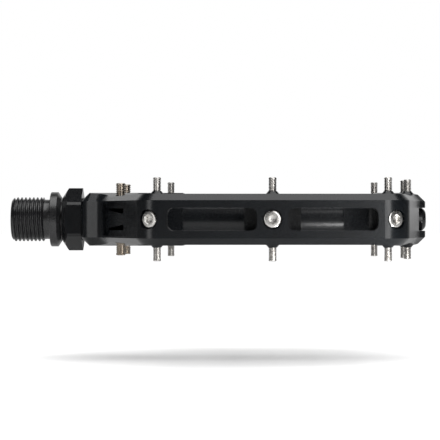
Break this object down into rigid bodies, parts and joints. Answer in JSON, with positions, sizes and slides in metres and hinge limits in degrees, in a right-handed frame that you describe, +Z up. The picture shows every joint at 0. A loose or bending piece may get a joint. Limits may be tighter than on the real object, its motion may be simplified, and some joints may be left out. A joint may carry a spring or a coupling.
{
  "type": "flat bicycle pedal",
  "caption": "Flat platform pedal: machined frame with traction pins, turning on a sealed threaded axle with a hex collar.",
  "frame": {"origin": "centre of the face that seats on the crank, on the axle's axis", "axes": "+X along the axle away from the crank, +Z up through the pedal's thickness, Y fore and aft"},
  "size_m": [0.134, 0.105, 0.0254],
  "materials": {
    "body_anodised": "satin black anodised, machined",
    "collar_anodised": "gloss black anodised",
    "axle_steel": "black plated steel",
    "pin_steel": "bright stainless, threaded",
    "nose_pin_steel": "warm nickel plated, threaded",
    "screw_steel": "bright stainless",
    "black_steel": "black oxide",
    "bearing_steel": "ground bearing steel",
    "cage_plastic": "moulded nylon",
    "plug_plastic": "gloss black",
    "seal_rubber": "matt"
  },
  "bodies": {
    "axle": {"axle": "axle_steel", "axle_nut": "black_steel", "axle_washer": "black_steel", "ball_bearing_inner_ring_inner": "bearing_steel", "ball_bearing_inner_ring_outer": "bearing_steel", "inner_ring_spacer": "bearing_steel"},
    "platform": {"ball_bearing_outer_ring_inner": "bearing_steel", "ball_bearing_outer_ring_outer": "bearing_steel", "bearing_shield_inner_crank_side": "bearing_steel", "bearing_shield_inner_end_side": "bearing_steel", "bearing_shield_outer_crank_side": "bearing_steel", "bearing_shield_outer_end_side": "bearing_steel", "end_plug": "plug_plastic", "grub_screw_end_front": "black_steel", "grub_screw_end_rear": "black_steel", "hex_collar": "collar_anodised", "lip_seal": "seal_rubber", "lock_screw_front_inboard": "screw_steel", "lock_screw_front_middle": "screw_steel", "lock_screw_front_outboard": "screw_steel", "lock_screw_rear_inboard": "screw_steel", "lock_screw_rear_middle": "screw_steel", "lock_screw_rear_outboard": "screw_steel", "needle_bearing_cup": "bearing_steel", "nose_pin_front": "nose_pin_steel", "nose_pin_rear": "nose_pin_steel", "outer_ring_spacer": "bearing_steel", "pedal_body": "body_anodised", "plug_o_ring": "seal_rubber", "traction_pin_end_front": "pin_steel", "traction_pin_end_rear": "pin_steel", "traction_pin_front_inboard": "pin_steel", "traction_pin_front_middle": "pin_steel", "traction_pin_front_outboard": "pin_steel", "traction_pin_rear_inboard": "pin_steel", "traction_pin_rear_middle": "pin_steel", "traction_pin_rear_outboard": "pin_steel"},
    "ball_set_inner": {"ball_bearing_balls_inner": "bearing_steel", "ball_bearing_cage_inner": "cage_plastic"},
    "ball_set_outer": {"ball_bearing_balls_outer": "bearing_steel", "ball_bearing_cage_outer": "cage_plastic"},
    "needle_set": {"needle_rollers": "bearing_steel", "needle_cage": "cage_plastic"}
  },
  "joints": [
    {"name": "platform_spin", "type": "hinge", "parent": "axle", "child": "platform", "pos_m": [0.0718, 0, 0], "axis": [1, 0, 0], "continuous": true},
    {"name": "ball_set_inner_orbit", "type": "hinge", "parent": "axle", "child": "ball_set_inner", "pos_m": [0.1043, 0, 0], "axis": [1, 0, 0], "continuous": true},
    {"name": "ball_set_outer_orbit", "type": "hinge", "parent": "axle", "child": "ball_set_outer", "pos_m": [0.1103, 0, 0], "axis": [1, 0, 0], "continuous": true},
    {"name": "needle_set_orbit", "type": "hinge", "parent": "axle", "child": "needle_set", "pos_m": [0.0234, 0, 0], "axis": [1, 0, 0], "continuous": true}
  ],
  "couplings": [
    {"joint": "ball_set_inner_orbit", "follows": "platform_spin", "ratio": 0.625},
    {"joint": "ball_set_outer_orbit", "follows": "platform_spin", "ratio": 0.625},
    {"joint": "needle_set_orbit", "follows": "platform_spin", "ratio": 0.572}
  ]
}
